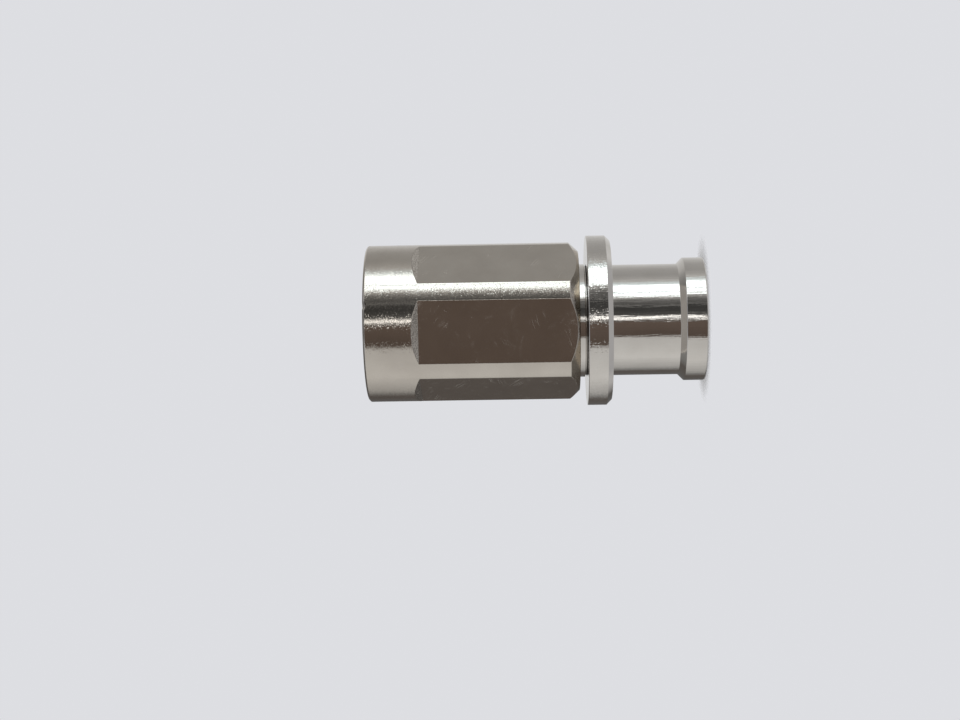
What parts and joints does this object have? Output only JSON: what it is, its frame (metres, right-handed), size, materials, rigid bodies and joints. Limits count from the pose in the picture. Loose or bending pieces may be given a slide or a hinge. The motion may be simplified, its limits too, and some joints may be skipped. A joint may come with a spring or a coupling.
{
  "type": "coaxial connector",
  "caption": "In-line coaxial connector with a hexagon coupling nut over a pin plug at one end and a smooth push-on jack with a locking lip at the other.",
  "frame": {"origin": "centre of the jack's end face, on the connector's axis", "axes": "+Z along the axis from the jack's end face to the mouth of the coupling nut; two of the nut's flats face +Y and -Y"},
  "size_m": [0.0224, 0.0224, 0.0442],
  "materials": {
    "white_bronze": "bright white bronze plate on turned brass",
    "nickel_nut": "satin nickel plate on turned and milled brass",
    "gold_contact": "gold plate",
    "insulator": "white fluoropolymer",
    "gasket": "matt silicone",
    "spring_ring": "plain spring bronze"
  },
  "bodies": {
    "body": {"main_body": "white_bronze", "jack_barrel": "white_bronze", "plug_sleeve": "white_bronze", "plug_insulator": "insulator", "jack_insulator": "insulator", "plug_pin": "gold_contact", "jack_socket": "gold_contact", "mating_gasket": "gasket"},
    "nut": {"coupling_nut": "nickel_nut", "retaining_ring": "spring_ring"}
  },
  "joints": [
    {"name": "nut_spin", "type": "hinge", "parent": "body", "child": "nut", "pos_m": [0, 0, 0.03], "axis": [0, 0, 1], "continuous": true}
  ]
}
